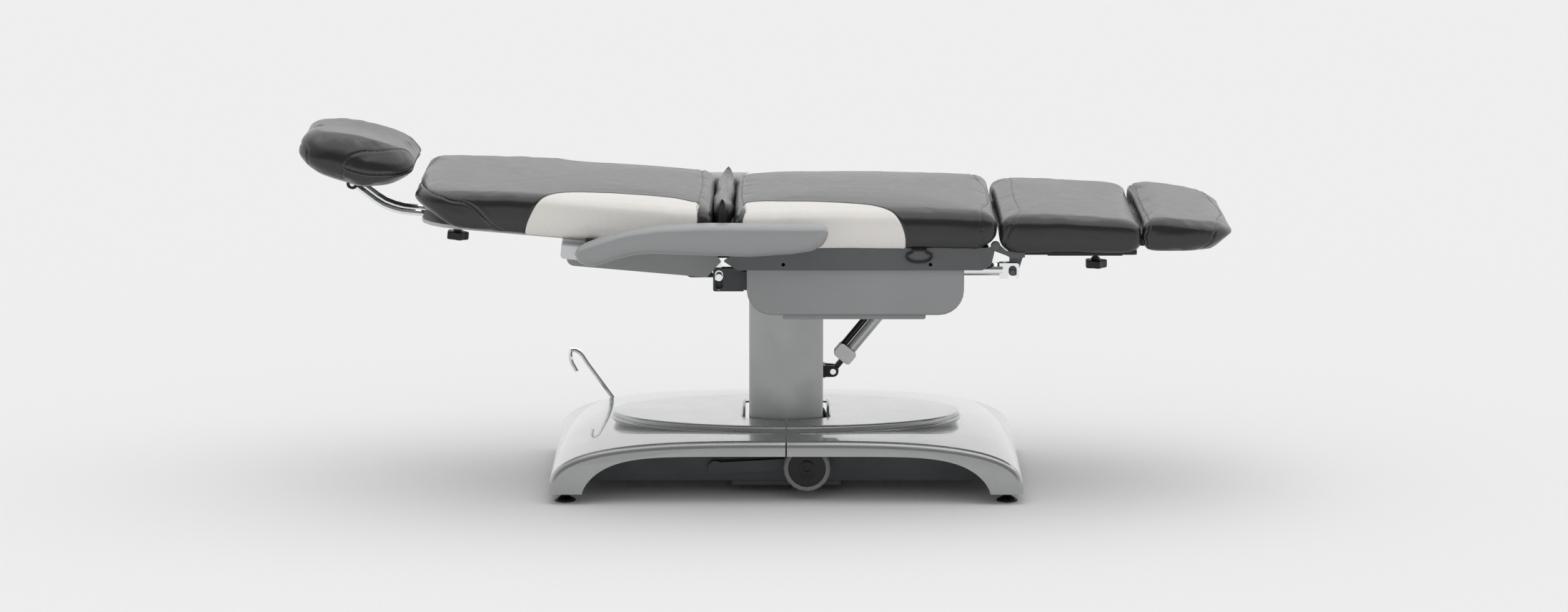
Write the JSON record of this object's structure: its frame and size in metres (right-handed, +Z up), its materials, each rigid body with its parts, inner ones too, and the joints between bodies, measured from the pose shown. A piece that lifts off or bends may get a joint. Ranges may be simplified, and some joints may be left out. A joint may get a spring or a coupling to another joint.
{
  "type": "treatment couch",
  "caption": "Powered treatment couch on a lifting column with tilting seat, raised back, leg and foot sections, armrests and an adjustable headrest, on a silver arched base",
  "frame": {"origin": "centre of the overall box in plan, at floor height", "axes": "+X runs from the head end to the foot end, +Z up, -Y the side the picture shows"},
  "size_m": [1.9765, 0.82, 0.7571],
  "materials": {
    "silver": "glossy silver lacquer",
    "column_grey": "satin silver-grey",
    "casing_grey": "grey, lightly textured",
    "plate_grey": "dark grey, satin",
    "frame_steel": "dark grey, satin",
    "black_plastic": "black",
    "chrome": "polished",
    "light_alloy": "satin",
    "tyre": "grey, matt",
    "upholstery": "dark grey synthetic leather with cream side panels",
    "arm_grey": "light grey soft-touch foam",
    "board_black": "black lacquered board",
    "board_light": "pale lacquered board"
  },
  "bodies": {
    "base": {"base_cover_head": "silver", "base_cover_foot": "silver", "base_plate": "frame_steel", "base_rail_near": "frame_steel", "base_rail_far": "frame_steel", "base_crossbar_head": "frame_steel", "base_crossbar_foot": "frame_steel", "levelling_foot_head_near": "black_plastic", "levelling_foot_head_far": "black_plastic", "levelling_foot_foot_near": "black_plastic", "levelling_foot_foot_far": "black_plastic", "column_fixed_tube": "column_grey"},
    "column_middle": {"column_middle_tube": "column_grey"},
    "column": {"column_moving_tube": "column_grey", "tilt_bracket": "black_plastic"},
    "tilt_actuator": {"tilt_motor": "black_plastic", "tilt_guide_tube": "light_alloy"},
    "tilt_piston": {"tilt_rod": "chrome"},
    "seat": {"seat_plate_near": "plate_grey", "seat_plate_far": "plate_grey", "tilt_shaft": "frame_steel", "seat_board": "board_black", "seat_cushion": "upholstery", "gap_bolster": "upholstery", "motor_casing": "casing_grey", "casing_tray": "casing_grey", "back_drive": "black_plastic", "leg_drive": "black_plastic"},
    "back": {"back_board": "board_light", "back_hinge_plate_near": "plate_grey", "back_hinge_plate_far": "plate_grey", "back_housing": "casing_grey", "back_lever": "chrome", "back_cushion": "upholstery", "arm_carrier": "light_alloy", "head_sleeve": "black_plastic"},
    "back_slider": {"back_rod_fork": "frame_steel"},
    "arm_near": {"armrest_near": "arm_grey"},
    "arm_far": {"armrest_far": "arm_grey"},
    "arm_clamp_near": {"arm_knob_near": "black_plastic"},
    "arm_clamp_far": {"arm_knob_far": "black_plastic"},
    "head_slider": {"head_bar": "chrome"},
    "head_clamp": {"head_knob": "black_plastic"},
    "head": {"headrest_board": "board_black", "headrest_cushion": "upholstery"},
    "leg": {"leg_board": "board_black", "leg_bracket_near": "plate_grey", "leg_bracket_far": "plate_grey", "leg_cushion": "upholstery"},
    "leg_clamp": {"leg_knob": "black_plastic"},
    "leg_slider": {"leg_rod": "chrome"},
    "foot": {"foot_board": "board_black", "foot_cushion": "upholstery"},
    "carriage": {"wheel_carriage": "frame_steel"},
    "wheel_near": {"wheel_tyre_near": "tyre", "wheel_hub_near": "black_plastic"},
    "wheel_far": {"wheel_tyre_far": "tyre", "wheel_hub_far": "black_plastic"},
    "lever": {"wheel_lever": "chrome"},
    "loop": {"pull_loop": "black_plastic"}
  },
  "joints": [
    {"name": "column_lift", "type": "slide", "parent": "base", "child": "column", "axis": [0, 0, 1], "range_m": [-0.04, 0.3]},
    {"name": "middle_lift", "type": "slide", "parent": "base", "child": "column_middle", "axis": [0, 0, 1], "range_m": [-0.02, 0.15]},
    {"name": "seat_tilt", "type": "hinge", "parent": "column", "child": "seat", "pos_m": [0.04964, 0, 0.52], "axis": [0, -1, 0], "range_deg": [0, 15]},
    {"name": "tilt_swing", "type": "hinge", "parent": "column", "child": "tilt_actuator", "pos_m": [0.15064, 0, 0.232], "axis": [0, -1, 0], "range_deg": [0, 6.75]},
    {"name": "tilt_extend", "type": "slide", "parent": "tilt_actuator", "child": "tilt_piston", "axis": [0.6346, 0, 0.7729], "range_m": [0, 0.0657]},
    {"name": "back_tilt", "type": "hinge", "parent": "seat", "child": "back", "pos_m": [-0.15336, 0, 0.533], "axis": [0, 1, 0], "range_deg": [-5, 55], "deforming": ["gap_bolster"]},
    {"name": "back_push", "type": "slide", "parent": "seat", "child": "back_slider", "axis": [-1, 0, 0], "range_m": [-0.00743, 0.0817]},
    {"name": "arm_level_near", "type": "hinge", "parent": "back", "child": "arm_near", "pos_m": [-0.34662, -0.37, 0.54991], "axis": [0, 1, 0], "range_deg": [-55, 5]},
    {"name": "arm_level_far", "type": "hinge", "parent": "back", "child": "arm_far", "pos_m": [-0.34662, 0.37, 0.54991], "axis": [0, 1, 0], "range_deg": [-55, 5]},
    {"name": "arm_clamp_turn_near", "type": "hinge", "parent": "back", "child": "arm_clamp_near", "pos_m": [-0.35477, -0.29, 0.54861], "axis": [0.0872, 0, 0.9962], "continuous": true},
    {"name": "arm_clamp_turn_far", "type": "hinge", "parent": "back", "child": "arm_clamp_far", "pos_m": [-0.35477, 0.29, 0.54861], "axis": [0.0872, 0, 0.9962], "continuous": true},
    {"name": "head_extend", "type": "slide", "parent": "back", "child": "head_slider", "axis": [-0.9962, 0, 0.0872], "range_m": [0, 0.11]},
    {"name": "head_tilt", "type": "hinge", "parent": "head_slider", "child": "head", "pos_m": [-0.87536, 0, 0.645], "axis": [0, 1, 0], "range_deg": [-30, 8]},
    {"name": "head_clamp_turn", "type": "hinge", "parent": "back", "child": "head_clamp", "pos_m": [-0.65503, 0, 0.53573], "axis": [0.0872, 0, 0.9962], "continuous": true},
    {"name": "leg_tilt", "type": "hinge", "parent": "seat", "child": "leg", "pos_m": [0.48764, 0, 0.548], "axis": [0, -1, 0], "range_deg": [-70, 5]},
    {"name": "leg_push", "type": "slide", "parent": "seat", "child": "leg_slider", "axis": [1, 0, 0], "range_m": [-0.0826, 0.0059]},
    {"name": "leg_clamp_turn", "type": "hinge", "parent": "leg", "child": "leg_clamp", "pos_m": [0.71364, 0, 0.4655], "axis": [0, 0, 1], "continuous": true},
    {"name": "foot_extend", "type": "slide", "parent": "leg", "child": "foot", "axis": [1, 0, 0], "range_m": [0, 0.15]},
    {"name": "carriage_tilt", "type": "hinge", "parent": "base", "child": "carriage", "pos_m": [-0.10036, 0, 0.06], "axis": [0, 1, 0], "range_deg": [0, 8.6]},
    {"name": "wheel_turn_near", "type": "hinge", "parent": "carriage", "child": "wheel_near", "pos_m": [0.09364, -0.25, 0.07], "axis": [0, 1, 0], "continuous": true},
    {"name": "wheel_turn_far", "type": "hinge", "parent": "carriage", "child": "wheel_far", "pos_m": [0.09364, 0.25, 0.07], "axis": [0, 1, 0], "continuous": true},
    {"name": "lever_turn", "type": "hinge", "parent": "base", "child": "lever", "pos_m": [-0.29636, 0.24, 0.06], "axis": [0, -1, 0], "range_deg": [0, 60]},
    {"name": "loop_swing", "type": "hinge", "parent": "seat", "child": "loop", "pos_m": [0.32764, -0.2913, 0.541], "axis": [-1, 0, 0], "range_deg": [0, 70]}
  ],
  "couplings": [
    {"joint": "middle_lift", "follows": "column_lift", "ratio": 0.5},
    {"joint": "tilt_swing", "follows": "seat_tilt", "ratio": 0.45},
    {"joint": "tilt_extend", "follows": "seat_tilt", "m_per_rad": 0.251},
    {"joint": "back_push", "follows": "back_tilt", "m_per_rad": 0.08511},
    {"joint": "arm_level_near", "follows": "back_tilt", "ratio": -1},
    {"joint": "arm_level_far", "follows": "back_tilt", "ratio": -1},
    {"joint": "leg_push", "follows": "leg_tilt", "m_per_rad": 0.0676},
    {"joint": "carriage_tilt", "follows": "lever_turn", "ratio": 0.14333}
  ]
}
